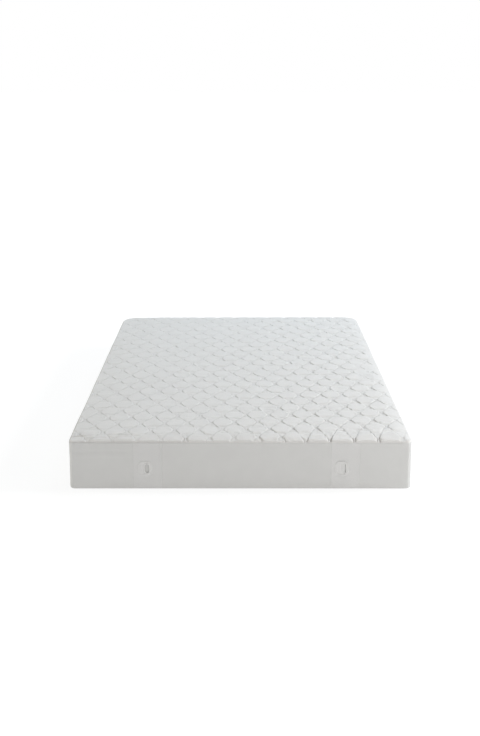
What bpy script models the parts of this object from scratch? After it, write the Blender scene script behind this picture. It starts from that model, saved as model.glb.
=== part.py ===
# Heated mattress pad, queen size, in the shape that it holds on a mattress: a quilted top with two
# heating zones, a skirt that turns under the mattress, and two sockets behind the skirt at the foot.
# Metres, +Z up. The foot end is at -Y, the pad stands on its turned-under hem at z = 0, and the
# origin is at the middle of that plane.

import math

import bmesh
import bpy
from mathutils import Matrix, Vector

# The fitted pad, and the gap that is kept between any two pieces
PAD_WIDTH = 1.524
PAD_LENGTH = 2.032
SKIRT_HEIGHT = 0.212
FOOT_CORNER_RADIUS = 0.020
HEAD_CORNER_RADIUS = 0.080
CLEARANCE = 0.0003

# The skirt, its turned-under hem, the elastic in the hem and the tape over the top seam
SKIRT_THICKNESS = 0.0015
TUCK_DEPTH = 0.090
TUCK_CORNER_RADIUS = 0.060
HEM_BEND_RADIUS = 0.008
ELASTIC_WIDTH = 0.012
ELASTIC_THICKNESS = 0.0015
ELASTIC_EDGE_MARGIN = 0.003
SEAM_TAPE_HEIGHT = 0.012
SEAM_TAPE_THICKNESS = 0.0008

# The quilted top: its layers, and the lattice of its stitching
BACKING_THICKNESS = 0.0008
FILL_THICKNESS = 0.0040
COVER_THICKNESS = 0.0012
COVER_RIM_WIDTH = 0.0025
PUFF_HEIGHT = 0.0095
PUFF_EDGE_ROLL = 0.035
CELL_WIDTH = 0.108
CELL_LENGTH = 0.171
QUILT_SHIFT_X = 0.004
QUILT_SHIFT_Y = 0.042
QUILT_SKEW = math.radians(2.4)

# The heating wires, one in each half of the top
WIRE_DIAMETER = 0.0026
WIRE_LOOPS = 4
WIRE_SIDE_MARGIN = 0.060
WIRE_CENTRE_MARGIN = 0.045
WIRE_HEAD_MARGIN = 0.110
WIRE_FOOT_MARGIN = 0.100
WIRE_FEED_MARGIN = 0.030
WIRE_BEND_RADIUS = 0.0024

# The two outlets in the foot skirt: a woven insert, a patch with a slit, and a pocket behind it
OUTLET_LEFT_INSET = 0.348
OUTLET_RIGHT_INSET = 0.294
OUTLET_HEIGHT = 0.100
INSERT_WIDTH = 0.128
SLIT_WIDTH = 0.016
SLIT_HEIGHT = 0.044
SLIT_CORNER_RADIUS = 0.004
PATCH_WIDTH = 0.068
PATCH_HEIGHT = 0.068
PATCH_CORNER_RADIUS = 0.016
PATCH_THICKNESS = 0.0010
PATCH_SLIT_MARGIN = 0.014
POCKET_THICKNESS = 0.0008
POCKET_SLIT_MARGIN = 0.010

# The socket that lies flat in each pocket, with its mouth towards +X
SOCKET_LENGTH = 0.044
SOCKET_HEIGHT = 0.050
SOCKET_DEPTH = 0.017
SOCKET_WALL = 0.0020
SOCKET_EDGE_RADIUS = 0.0035
SOCKET_MOUTH_OVERLAP = 0.004
CARRIER_SETBACK = 0.022
CARRIER_THICKNESS = 0.008
CARRIER_EDGE_RADIUS = 0.0018
PIN_COUNT = 3
PIN_DIAMETER = 0.0032
PIN_REACH = 0.011
PIN_TAIL = 0.003
PIN_PITCH = 0.012
PIN_TIP_BEVEL = 0.0008

# The lead from each socket up to the wire splice under the quilt, and its boot
LEAD_DIAMETER = 0.0050
LEAD_BEND_RADIUS = 0.020
LEAD_TAIL = 0.004
LEAD_STRAIGHT = 0.005
BOOT_LENGTH = 0.024
BOOT_BASE_LENGTH = 0.004
BOOT_BASE_RADIUS = 0.0060
BOOT_TIP_WALL = 0.0010
BOOT_NECK_WALL = 0.0009
BOOT_COLLAR_THICKNESS = 0.0020
SPLICE_LENGTH = 0.036
SPLICE_HEIGHT = 0.012
SPLICE_EDGE_RADIUS = 0.0015
SPLICE_WIRE_PITCH = 0.018
SPLICE_BORE_DEPTH = 0.0045

# The care tag, sewn into the head seam
TAG_INSET = 0.462
TAG_WIDTH = 0.034
TAG_LENGTH = 0.052
TAG_THICKNESS = 0.0008

# How finely curves are drawn, and how far a cutter runs past what it cuts
CORNER_STEPS = 5
BEND_STEPS = 3
FILLET_STEPS = 4
ROUND_STEPS = 20
CUT_OVERRUN = 0.004

# Heights of the quilt's layers, from the skirt up
BACKING_BOTTOM = SKIRT_HEIGHT + CLEARANCE
WIRE_HEIGHT = BACKING_BOTTOM + BACKING_THICKNESS + CLEARANCE + WIRE_DIAMETER / 2
FILL_BOTTOM = WIRE_HEIGHT + WIRE_DIAMETER / 2 + CLEARANCE
COVER_BOTTOM = FILL_BOTTOM + FILL_THICKNESS + CLEARANCE
COVER_VALLEY = COVER_BOTTOM + COVER_THICKNESS

# Planes at the foot: the skirt's outside, and what lies behind it
FOOT_Y = -PAD_LENGTH / 2
HEAD_Y = PAD_LENGTH / 2
SOCKET_FRONT_Y = FOOT_Y + SKIRT_THICKNESS + CLEARANCE
SOCKET_MID_Y = SOCKET_FRONT_Y + SOCKET_DEPTH / 2

# The bore that the lead passes through, the boot round it, and the block that it ends in
LEAD_BORE_RADIUS = LEAD_DIAMETER / 2 + CLEARANCE
BOOT_NECK_RADIUS = LEAD_BORE_RADIUS + BOOT_NECK_WALL
BOOT_COLLAR_RADIUS = SOCKET_DEPTH / 2 - SOCKET_EDGE_RADIUS - CLEARANCE
SPLICE_TOP = BACKING_BOTTOM - CLEARANCE
SPLICE_BOTTOM = SPLICE_TOP - SPLICE_HEIGHT
SPLICE_DEPTH = SOCKET_DEPTH - 2 * (SEAM_TAPE_THICKNESS + CLEARANCE)

# Where each outlet's slit is centred, which is a fixed distance from its corner
OUTLETS = (("left", OUTLET_LEFT_INSET - PAD_WIDTH / 2), ("right", PAD_WIDTH / 2 - OUTLET_RIGHT_INSET))


def clear_scene():
    for old in list(bpy.data.objects):
        bpy.data.objects.remove(old, do_unlink=True)


def new_collection(name):
    made = bpy.data.collections.new(name)
    bpy.context.scene.collection.children.link(made)
    return made


def new_material(name, colour, roughness, metallic=0.0):
    made = bpy.data.materials.new(name)
    made.use_nodes = True
    shader = made.node_tree.nodes["Principled BSDF"]
    shader.inputs["Base Color"].default_value = (*colour, 1.0)
    shader.inputs["Roughness"].default_value = roughness
    shader.inputs["Metallic"].default_value = metallic
    return made


def place(name, data, material=None):
    """A part, or a cutter where no material is given."""
    made = bpy.data.objects.new(name, data)
    if material:
        parts.objects.link(made)
        data.materials.append(material)
    else:
        cutters.objects.link(made)
        made.hide_render = True
        made.display_type = "WIRE"
    return made


def mesh_from(bm, name):
    mesh = bpy.data.meshes.new(name)
    bm.to_mesh(mesh)
    bm.free()
    return mesh


def cut(made, cutter):
    step = made.modifiers.new("Cut " + cutter.name, "BOOLEAN")
    step.operation = "DIFFERENCE"
    step.object = cutter


def bevelled(made, width, segments=2):
    step = made.modifiers.new("Rounded edges", "BEVEL")
    step.width = width
    step.segments = segments
    step.limit_method = "ANGLE"


def thickened(made, thickness):
    """Gives an open surface its thickness, on the side away from its normals."""
    step = made.modifiers.new("Thickness", "SOLIDIFY")
    step.thickness = thickness
    step.offset = -1
    step.use_even_offset = True
    return made


def cuboid(low, high):
    bm = bmesh.new()
    bmesh.ops.create_cube(bm, size=1.0)
    low, high = Vector(low), Vector(high)
    bmesh.ops.scale(bm, vec=high - low, verts=bm.verts)
    bmesh.ops.translate(bm, vec=(low + high) / 2, verts=bm.verts)
    return bm


def box(name, low, high, material=None):
    """A box between two opposite corners."""
    return place(name, mesh_from(cuboid(low, high), name), material)


def tray(name, low, high, open_sides, wall, material, edge_radius=0.0):
    """A thin-walled box without the sides that look along open_sides. low and high bound its outside."""
    bm = cuboid(low, high)
    bm.normal_update()
    gone = [face for face in bm.faces if any(face.normal.dot(Vector(side)) > 0.5 for side in open_sides)]
    bmesh.ops.delete(bm, geom=gone, context="FACES")
    if edge_radius:
        inner_edges = [edge for edge in bm.edges if len(edge.link_faces) == 2]
        bmesh.ops.bevel(bm, geom=inner_edges, offset=edge_radius, segments=2, profile=0.5, affect="EDGES")
    return thickened(place(name, mesh_from(bm, name), material), wall)


def rod(name, start, end, radius, material=None):
    """A cylinder between two points."""
    start, end = Vector(start), Vector(end)
    length = (end - start).length
    turn = (end - start).to_track_quat("Z", "Y").to_matrix().to_4x4()
    bm = bmesh.new()
    bmesh.ops.create_cone(
        bm,
        cap_ends=True,
        segments=ROUND_STEPS,
        radius1=radius,
        radius2=radius,
        depth=length,
        matrix=Matrix.Translation((start + end) / 2) @ turn,
    )
    return place(name, mesh_from(bm, name), material)


def arc(centre_x, centre_y, radius, start, steps):
    """A quarter circle's points, anticlockwise from start degrees."""
    angles = (math.radians(start + 90 * step / steps) for step in range(steps + 1))
    return [(centre_x + radius * math.cos(angle), centre_y + radius * math.sin(angle)) for angle in angles]


def rounded_rectangle(low, high, low_radius, high_radius):
    """A rectangle's plan, anticlockwise, with one radius at its low corners and one at its high ones."""
    (low_x, low_y), (high_x, high_y) = low, high
    return [
        *arc(high_x - low_radius, low_y + low_radius, low_radius, -90, CORNER_STEPS),
        *arc(high_x - high_radius, high_y - high_radius, high_radius, 0, CORNER_STEPS),
        *arc(low_x + high_radius, high_y - high_radius, high_radius, 90, CORNER_STEPS),
        *arc(low_x + low_radius, low_y + low_radius, low_radius, 180, CORNER_STEPS),
    ]


def pad_plan(inset, foot_radius, head_radius):
    high = (PAD_WIDTH / 2 - inset, PAD_LENGTH / 2 - inset)
    return rounded_rectangle((-high[0], -high[1]), high, foot_radius, head_radius)


def body_plan(inset):
    """The pad's plan, parallel to the outside of the skirt."""
    return pad_plan(inset, FOOT_CORNER_RADIUS - inset, HEAD_CORNER_RADIUS - inset)


def tuck_plan(inset):
    """The pad's plan, parallel to the hem's inner edge."""
    radius = TUCK_CORNER_RADIUS + TUCK_DEPTH - inset
    return pad_plan(inset, radius, radius)


def lofted(loops):
    """Faces between closed loops, each (plan, height). From the hem up and outwards, they look outwards."""
    bm = bmesh.new()
    rings = [[bm.verts.new((x, y, height)) for x, y in plan] for plan, height in loops]
    for inner, outer in zip(rings, rings[1:]):
        for here in range(len(inner)):
            before = here - 1
            bm.faces.new((inner[before], inner[here], outer[here], outer[before]))
    return bm


def keep_side(bm, point, normal):
    """Cuts a mesh by a plane and drops what lies on the normal's side."""
    geometry = [*bm.verts, *bm.edges, *bm.faces]
    bmesh.ops.bisect_plane(bm, geom=geometry, plane_co=point, plane_no=normal, clear_outer=True)


def skirt_panel(name, seams, material):
    """What the seams leave of the skirt: its wall, the bend below it, and the hem under the mattress."""
    loops = [(tuck_plan(TUCK_DEPTH), 0.0)]
    for step in range(BEND_STEPS + 1):
        angle = math.pi / 2 * step / BEND_STEPS
        inset = HEM_BEND_RADIUS * (1 - math.sin(angle))
        loops.append((body_plan(inset), HEM_BEND_RADIUS * (1 - math.cos(angle))))
    loops.append((body_plan(0), SKIRT_HEIGHT))
    bm = lofted(loops)
    for point, normal in seams:
        outward = Vector(normal).normalized()
        keep_side(bm, Vector(point) - outward * CLEARANCE / 2, outward)
    return thickened(place(name, mesh_from(bm, name), material), SKIRT_THICKNESS)


def corner_seam(side_x, side_y, of_side_panel):
    """The seam at a corner, at 45 degrees, with its normal out of the side panel or out of the end panel."""
    sign = -1 if of_side_panel else 1
    point = (side_x * PAD_WIDTH / 2, side_y * PAD_LENGTH / 2, 0)
    return point, (sign * side_x, -sign * side_y, 0)


def upright_seam(x, direction):
    return (x, 0, 0), (direction, 0, 0)


def build_skirt():
    """Side and head panels, and between two woven inserts the foot's three."""
    for name, side in (("skirt_left", -1), ("skirt_right", 1)):
        skirt_panel(name, [corner_seam(side, -1, True), corner_seam(side, 1, True)], knit)
    skirt_panel("skirt_head", [corner_seam(-1, 1, False), corner_seam(1, 1, False)], knit)

    not_head = ((0, 0, 0), (0, 1, 0))
    panel_start = corner_seam(-1, -1, False)
    panels = ("skirt_foot_left", "skirt_foot_middle")
    for panel, (side, centre) in zip(panels, OUTLETS):
        low, high = centre - INSERT_WIDTH / 2, centre + INSERT_WIDTH / 2
        skirt_panel(panel, [panel_start, upright_seam(low, 1), not_head], knit)
        insert = skirt_panel("insert_" + side, [upright_seam(low, -1), upright_seam(high, 1), not_head], woven)
        cut(insert, slit_cutter(side, centre))
        panel_start = upright_seam(high, -1)
    skirt_panel("skirt_foot_right", [panel_start, corner_seam(1, -1, False), not_head], knit)


def build_hem_elastic():
    level = SKIRT_THICKNESS + CLEARANCE
    outer_inset = TUCK_DEPTH - ELASTIC_EDGE_MARGIN - ELASTIC_WIDTH
    bm = lofted([(tuck_plan(outer_inset + ELASTIC_WIDTH), level), (tuck_plan(outer_inset), level)])
    thickened(place("hem_elastic", mesh_from(bm, "hem_elastic"), elastic), ELASTIC_THICKNESS)


def build_seam_tape():
    """The tape that binds the raw edges of the top seam, on the inside of the skirt."""
    plan = body_plan(SKIRT_THICKNESS + CLEARANCE)
    top = SKIRT_HEIGHT - CLEARANCE
    bm = lofted([(plan, top - SEAM_TAPE_HEIGHT), (plan, top)])
    thickened(place("seam_tape", mesh_from(bm, "seam_tape"), woven), SEAM_TAPE_THICKNESS)


def depth_inside(x, y):
    """How far a point of the plan lies from the pad's outline."""
    radius = HEAD_CORNER_RADIUS if y > 0 else FOOT_CORNER_RADIUS
    past_x = abs(x) - PAD_WIDTH / 2 + radius
    past_y = abs(y) - PAD_LENGTH / 2 + radius
    if past_x > 0 and past_y > 0:
        return radius - math.hypot(past_x, past_y)
    return radius - max(past_x, past_y)


def build_quilt_cover():
    """The quilt's face. Stitching draws it down along a lattice, and each cell puffs up between."""
    bm = bmesh.new()
    step_x, step_y = CELL_WIDTH / 2, CELL_LENGTH / 2
    reach = math.hypot(PAD_WIDTH, PAD_LENGTH) / 2 * math.sin(abs(QUILT_SKEW))
    columns = 2 * math.ceil((PAD_WIDTH / 2 + reach + abs(QUILT_SHIFT_X)) / step_x)
    rows = 2 * math.ceil((PAD_LENGTH / 2 + reach + abs(QUILT_SHIFT_Y)) / step_y)
    bmesh.ops.create_grid(bm, x_segments=columns, y_segments=rows, size=0.5)
    bmesh.ops.scale(bm, vec=(columns * step_x, rows * step_y, 1), verts=bm.verts)

    stitched = [vert for vert in bm.verts if round(vert.co.x / step_x + vert.co.y / step_y) % 2]
    bmesh.ops.translate(bm, vec=(QUILT_SHIFT_X, QUILT_SHIFT_Y, COVER_VALLEY + PUFF_HEIGHT), verts=bm.verts)
    bmesh.ops.translate(bm, vec=(0, 0, -PUFF_HEIGHT), verts=stitched)
    bmesh.ops.connect_verts(bm, verts=stitched)
    bmesh.ops.rotate(bm, matrix=Matrix.Rotation(QUILT_SKEW, 3, "Z"), verts=bm.verts)

    plan = body_plan(0)
    for (x, y), (next_x, next_y) in zip(plan, plan[1:] + plan[:1]):
        keep_side(bm, (x, y, 0), (next_y - y, x - next_x, 0))
    for vert in bm.verts:
        puff = vert.co.z - COVER_VALLEY
        edge_share = min(1.0, max(0.0, depth_inside(vert.co.x, vert.co.y)) / PUFF_EDGE_ROLL)
        vert.co.z = COVER_VALLEY if vert.is_boundary else COVER_VALLEY + puff * edge_share

    # Down the outside to the seam, with only the points that its plan needs
    rim = [edge for edge in bm.edges if edge.is_boundary]
    made = bmesh.ops.extrude_edge_only(bm, edges=rim)["geom"]
    seam_verts = [item for item in made if isinstance(item, bmesh.types.BMVert)]
    for vert in seam_verts:
        vert.co.z = BACKING_BOTTOM
    bm.normal_update()
    wall_edges = list({edge for vert in seam_verts for edge in vert.link_edges})
    bmesh.ops.dissolve_limit(bm, angle_limit=math.radians(1), verts=seam_verts, edges=wall_edges)

    # In along the rim, and up to the fill
    seam = [edge for edge in bm.edges if edge.is_boundary]
    underside = bmesh.ops.contextual_create(bm, geom=seam)["faces"]
    bmesh.ops.inset_individual(bm, faces=underside, thickness=COVER_RIM_WIDTH, use_even_offset=True)
    for vert in bmesh.ops.extrude_discrete_faces(bm, faces=underside)["faces"][0].verts:
        vert.co.z = COVER_BOTTOM
    bmesh.ops.recalc_face_normals(bm, faces=bm.faces)
    place("quilt_cover", mesh_from(bm, "quilt_cover"), cotton)


def flat_sheet(name, plans, thickness, material):
    """A flat piece about z = 0, with the first plan as its outline and the others as holes."""
    curve = bpy.data.curves.new(name, "CURVE")
    curve.dimensions = "2D"
    curve.fill_mode = "BOTH"
    curve.extrude = thickness / 2
    for plan in plans:
        spline = curve.splines.new("POLY")
        spline.points.add(len(plan) - 1)
        for point, (x, y) in zip(spline.points, plan):
            point.co = (x, y, 0, 1)
        spline.use_cyclic_u = True
    return place(name, curve, material)


def build_quilt_layers():
    """The fill and the backing, which has a slot over each splice for the wire's two ends."""
    plan = body_plan(COVER_RIM_WIDTH + CLEARANCE)
    fill = flat_sheet("quilt_fill", [plan], FILL_THICKNESS, batting)
    fill.location.z = FILL_BOTTOM + FILL_THICKNESS / 2

    half_width = WIRE_DIAMETER / 2 + WIRE_BEND_RADIUS + CLEARANCE
    half_length = SPLICE_WIRE_PITCH / 2 + half_width
    slots = []
    for _, centre in OUTLETS:
        low = (splice_x(centre) - half_length, SOCKET_MID_Y - half_width)
        high = (splice_x(centre) + half_length, SOCKET_MID_Y + half_width)
        slots.append([low, (high[0], low[1]), high, (low[0], high[1])])
    backing = flat_sheet("quilt_backing", [plan, *slots], BACKING_THICKNESS, woven)
    backing.location.z = BACKING_BOTTOM + BACKING_THICKNESS / 2


def filleted(corners, radii):
    """Straight runs between the corners, with an arc of its own radius at each inner one."""
    points = [Vector(corners[0])]
    for before, corner, after, radius in zip(corners, corners[1:], corners[2:], radii):
        corner = Vector(corner)
        back, ahead = (Vector(before) - corner).normalized(), (Vector(after) - corner).normalized()
        half_angle = back.angle(ahead) / 2
        reach = radius / math.tan(half_angle)
        centre = corner + (back + ahead).normalized() * radius / math.sin(half_angle)
        start, end = corner + back * reach - centre, corner + ahead * reach - centre
        points += [centre + radius * start.slerp(end, step / FILLET_STEPS) for step in range(FILLET_STEPS + 1)]
    return [*points, Vector(corners[-1])]


def tube(name, points, diameter, bevel_resolution, material):
    curve = bpy.data.curves.new(name, "CURVE")
    curve.dimensions = "3D"
    curve.bevel_depth = diameter / 2
    curve.bevel_resolution = bevel_resolution
    curve.use_fill_caps = True
    # Two arcs that meet share a point, which is kept once
    kept = points[:1]
    for point in points[1:]:
        if (point - kept[-1]).length > diameter / 10:
            kept.append(point)
    spline = curve.splines.new("POLY")
    spline.points.add(len(kept) - 1)
    for knot, point in zip(spline.points, kept):
        knot.co = (*point, 1)
    return place(name, curve, material)


def build_heating_wire(side, centre):
    """One zone's wire: from the splice out to the side, up and down the pad, and back from the middle."""
    sign = math.copysign(1, centre)
    outer_x, inner_x = sign * (PAD_WIDTH / 2 - WIRE_SIDE_MARGIN), sign * WIRE_CENTRE_MARGIN
    foot_y, head_y = FOOT_Y + WIRE_FOOT_MARGIN, HEAD_Y - WIRE_HEAD_MARGIN
    feed_y = FOOT_Y + WIRE_FEED_MARGIN
    out_x = splice_x(centre) + sign * SPLICE_WIRE_PITCH / 2
    back_x = splice_x(centre) - sign * SPLICE_WIRE_PITCH / 2
    end_z = SPLICE_TOP - SPLICE_BORE_DEPTH + CLEARANCE

    run_step = (inner_x - outer_x) / (2 * WIRE_LOOPS - 1)
    turn_radius, feed_radius = abs(run_step) / 2, WIRE_FEED_MARGIN / 4
    route = [
        ((out_x, SOCKET_MID_Y, end_z), 0),
        ((out_x, SOCKET_MID_Y, WIRE_HEIGHT), WIRE_BEND_RADIUS),
        ((out_x, feed_y, WIRE_HEIGHT), feed_radius),
        ((outer_x, feed_y, WIRE_HEIGHT), feed_radius),
    ]
    for loop in range(WIRE_LOOPS):
        up_x = outer_x + 2 * loop * run_step
        down_x = up_x + run_step
        if loop:
            route.append(((up_x, foot_y, WIRE_HEIGHT), turn_radius))
        route.append(((up_x, head_y, WIRE_HEIGHT), turn_radius))
        route.append(((down_x, head_y, WIRE_HEIGHT), turn_radius))
        if loop < WIRE_LOOPS - 1:
            route.append(((down_x, foot_y, WIRE_HEIGHT), turn_radius))
    route += [
        ((inner_x, feed_y, WIRE_HEIGHT), feed_radius),
        ((back_x, feed_y, WIRE_HEIGHT), feed_radius),
        ((back_x, SOCKET_MID_Y, WIRE_HEIGHT), WIRE_BEND_RADIUS),
        ((back_x, SOCKET_MID_Y, end_z), 0),
    ]
    corners = [corner for corner, _ in route]
    radii = [radius for _, radius in route[1:-1]]
    tube("heating_wire_" + side, filleted(corners, radii), WIRE_DIAMETER, 1, wire_sheath)


def mouth_x(centre):
    """Where the mouth of an outlet's socket lies, a little way into the slit."""
    return centre - SLIT_WIDTH / 2 + SOCKET_MOUTH_OVERLAP


def end_x(centre):
    return mouth_x(centre) - SOCKET_LENGTH


def splice_x(centre):
    """Where the lead rises to the splice, once it has left its boot and bent upwards."""
    return end_x(centre) - BOOT_LENGTH - LEAD_STRAIGHT - LEAD_BEND_RADIUS


def slit_plan(centre):
    half_width, half_height = SLIT_WIDTH / 2, SLIT_HEIGHT / 2
    low = (centre - half_width, OUTLET_HEIGHT - half_height)
    high = (centre + half_width, OUTLET_HEIGHT + half_height)
    return rounded_rectangle(low, high, SLIT_CORNER_RADIUS, SLIT_CORNER_RADIUS)


def standing(sheet, middle_y):
    """Stands a flat sheet up, so that its plan is seen from the foot."""
    sheet.rotation_euler.x = math.pi / 2
    sheet.location.y = middle_y
    return sheet


def slit_cutter(side, centre):
    """A slit's shape through the insert. The curve becomes a mesh, because a curve can't cut."""
    sheet = flat_sheet("slit_outline_" + side, [slit_plan(centre)], SKIRT_THICKNESS + 2 * CUT_OVERRUN, None)
    standing(sheet, FOOT_Y + SKIRT_THICKNESS / 2)
    bpy.context.view_layer.update()
    evaluated = sheet.evaluated_get(bpy.context.evaluated_depsgraph_get())
    bm = bmesh.new()
    bm.from_mesh(bpy.data.meshes.new_from_object(evaluated))
    bmesh.ops.remove_doubles(bm, verts=bm.verts, dist=CLEARANCE / 10)
    bmesh.ops.recalc_face_normals(bm, faces=bm.faces)
    cutter = place("slit_" + side, mesh_from(bm, "slit_" + side))
    cutter.matrix_world = sheet.matrix_world
    bpy.data.objects.remove(sheet, do_unlink=True)
    return cutter


def build_outlet_patch(side, centre):
    """The patch sewn round the slit, on the outside of the insert and over the socket's pocket."""
    right = centre + SLIT_WIDTH / 2 + PATCH_SLIT_MARGIN
    low = (right - PATCH_WIDTH, OUTLET_HEIGHT - PATCH_HEIGHT / 2)
    high = (right, OUTLET_HEIGHT + PATCH_HEIGHT / 2)
    plan = rounded_rectangle(low, high, PATCH_CORNER_RADIUS, PATCH_CORNER_RADIUS)
    patch = flat_sheet("outlet_patch_" + side, [plan, slit_plan(centre)], PATCH_THICKNESS, woven)
    standing(patch, FOOT_Y - CLEARANCE - PATCH_THICKNESS / 2)


def socket_bounds(centre, grown=0.0):
    """Two corners of the socket, grown on every side but the mouth's and the insert's."""
    half_height = SOCKET_HEIGHT / 2 + grown
    low = (end_x(centre) - grown, SOCKET_FRONT_Y, OUTLET_HEIGHT - half_height)
    high = (mouth_x(centre), SOCKET_FRONT_Y + SOCKET_DEPTH + grown, OUTLET_HEIGHT + half_height)
    return low, high


def build_shells(side, centre):
    """The housing's two halves. They meet in the middle of its depth and are open at the mouth."""
    low, high = socket_bounds(centre)
    hole = rod(
        "boot_hole_" + side,
        (end_x(centre) - CUT_OVERRUN, SOCKET_MID_Y, OUTLET_HEIGHT),
        (end_x(centre) + SOCKET_WALL + CUT_OVERRUN, SOCKET_MID_Y, OUTLET_HEIGHT),
        BOOT_NECK_RADIUS + CLEARANCE,
    )
    mouth = (1, 0, 0)
    front_high = (high[0], SOCKET_MID_Y - CLEARANCE / 2, high[2])
    back_low = (low[0], SOCKET_MID_Y + CLEARANCE / 2, low[2])
    halves = (("front", low, front_high, (0, 1, 0)), ("back", back_low, high, (0, -1, 0)))
    for half, half_low, half_high, seam in halves:
        name = f"socket_{half}_shell_{side}"
        cut(tray(name, half_low, half_high, [seam, mouth], SOCKET_WALL, housing, SOCKET_EDGE_RADIUS), hole)


def build_contacts(side, centre):
    """The block across the housing, and the pins that it carries."""
    low, high = socket_bounds(centre)
    face_x = mouth_x(centre) - CARRIER_SETBACK
    inside = SOCKET_WALL + CLEARANCE
    carrier = box(
        "contact_carrier_" + side,
        (face_x - CARRIER_THICKNESS, low[1] + inside, low[2] + inside),
        (face_x, high[1] - inside, high[2] - inside),
        insulator,
    )
    bevelled(carrier, CARRIER_EDGE_RADIUS)
    for number in range(PIN_COUNT):
        z = OUTLET_HEIGHT + (number - (PIN_COUNT - 1) / 2) * PIN_PITCH
        tail = (face_x - CARRIER_THICKNESS - PIN_TAIL, SOCKET_MID_Y, z)
        tip = (face_x + PIN_REACH, SOCKET_MID_Y, z)
        name = f"contact_pin_{side}_{number + 1}"
        bevelled(rod(name, tail, tip, PIN_DIAMETER / 2, brass), PIN_TIP_BEVEL, 1)
        cut(carrier, rod("bore_of_" + name, tail, tip, PIN_DIAMETER / 2 + CLEARANCE))


def build_pocket(side, centre):
    """The cloth pocket sewn to the insert's back. It holds the socket and reaches past the slit."""
    low, high = socket_bounds(centre, CLEARANCE + POCKET_THICKNESS)
    high = (centre + SLIT_WIDTH / 2 + POCKET_SLIT_MARGIN, high[1], high[2])
    pocket = tray("socket_pocket_" + side, low, high, [(0, -1, 0)], POCKET_THICKNESS, woven)
    hole = rod(
        "pocket_hole_" + side,
        (end_x(centre) - CUT_OVERRUN, SOCKET_MID_Y, OUTLET_HEIGHT),
        (end_x(centre) + CUT_OVERRUN, SOCKET_MID_Y, OUTLET_HEIGHT),
        BOOT_BASE_RADIUS + CLEARANCE,
    )
    cut(pocket, hole)


def build_strain_relief(side, centre):
    """The boot, turned about the lead: a collar inside the shells, a neck in their wall, a taper outside."""
    wall_outside, wall_inside = CLEARANCE, -SOCKET_WALL - CLEARANCE
    collar_end = wall_inside - BOOT_COLLAR_THICKNESS
    profile = (
        (LEAD_BORE_RADIUS, collar_end),
        (LEAD_BORE_RADIUS, BOOT_LENGTH),
        (LEAD_BORE_RADIUS + BOOT_TIP_WALL, BOOT_LENGTH),
        (BOOT_BASE_RADIUS, BOOT_BASE_LENGTH),
        (BOOT_BASE_RADIUS, wall_outside),
        (BOOT_NECK_RADIUS, wall_outside),
        (BOOT_NECK_RADIUS, wall_inside),
        (BOOT_COLLAR_RADIUS, wall_inside),
        (BOOT_COLLAR_RADIUS, collar_end),
    )
    name = "strain_relief_" + side
    bm = bmesh.new()
    ring = [bm.verts.new((radius, 0, height)) for radius, height in profile]
    for number, vert in enumerate(ring):
        bm.edges.new((ring[number - 1], vert))
    made = place(name, mesh_from(bm, name), housing)
    turn = made.modifiers.new("Turned", "SCREW")
    turn.steps = turn.render_steps = ROUND_STEPS
    turn.use_merge_vertices = True
    turn.merge_threshold = CLEARANCE / 10
    made.rotation_euler.y = -math.pi / 2
    made.location = (end_x(centre), SOCKET_MID_Y, OUTLET_HEIGHT)


def build_lead(side, centre):
    """The lead, from the chamber behind the pins up to the splice."""
    start_x = end_x(centre) + SOCKET_WALL + CLEARANCE + BOOT_COLLAR_THICKNESS + LEAD_TAIL
    rise_x = splice_x(centre)
    corners = [
        (start_x, SOCKET_MID_Y, OUTLET_HEIGHT),
        (rise_x, SOCKET_MID_Y, OUTLET_HEIGHT),
        (rise_x, SOCKET_MID_Y, SPLICE_BOTTOM + SPLICE_BORE_DEPTH - CLEARANCE),
    ]
    tube("lead_cable_" + side, filleted(corners, [LEAD_BEND_RADIUS]), LEAD_DIAMETER, 2, lead_sheath)


def build_splice(side, centre):
    """The moulded block under the quilt where the lead joins both ends of the zone's wire."""
    x = splice_x(centre)
    block = box(
        "wire_splice_" + side,
        (x - SPLICE_LENGTH / 2, SOCKET_MID_Y - SPLICE_DEPTH / 2, SPLICE_BOTTOM),
        (x + SPLICE_LENGTH / 2, SOCKET_MID_Y + SPLICE_DEPTH / 2, SPLICE_TOP),
        insulator,
    )
    bevelled(block, SPLICE_EDGE_RADIUS)
    above, below = SPLICE_TOP + CUT_OVERRUN, SPLICE_BOTTOM - CUT_OVERRUN
    bores = (
        ("wire_bore_out_", -SPLICE_WIRE_PITCH / 2, above, SPLICE_TOP - SPLICE_BORE_DEPTH, WIRE_DIAMETER / 2),
        ("wire_bore_back_", SPLICE_WIRE_PITCH / 2, above, SPLICE_TOP - SPLICE_BORE_DEPTH, WIRE_DIAMETER / 2),
        ("lead_bore_", 0, below, SPLICE_BOTTOM + SPLICE_BORE_DEPTH, LEAD_DIAMETER / 2),
    )
    for name, shift, start_z, end_z, radius in bores:
        start, end = (x + shift, SOCKET_MID_Y, start_z), (x + shift, SOCKET_MID_Y, end_z)
        cut(block, rod(name + side, start, end, radius + CLEARANCE))


def build_care_tag():
    """The blank tag. Its parent is an empty on the stitched edge, which it swings about."""
    hinge = bpy.data.objects.new("tag_hinge", None)
    parts.objects.link(hinge)
    hinge.location = (TAG_INSET - PAD_WIDTH / 2, HEAD_Y + CLEARANCE + TAG_THICKNESS / 2, SKIRT_HEIGHT - CLEARANCE)
    low = (-TAG_WIDTH / 2, -TAG_THICKNESS / 2, -TAG_LENGTH)
    high = (TAG_WIDTH / 2, TAG_THICKNESS / 2, 0)
    box("care_tag", low, high, satin).parent = hinge


clear_scene()
parts = new_collection("Heated mattress pad")
cutters = new_collection("Cutters")

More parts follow.
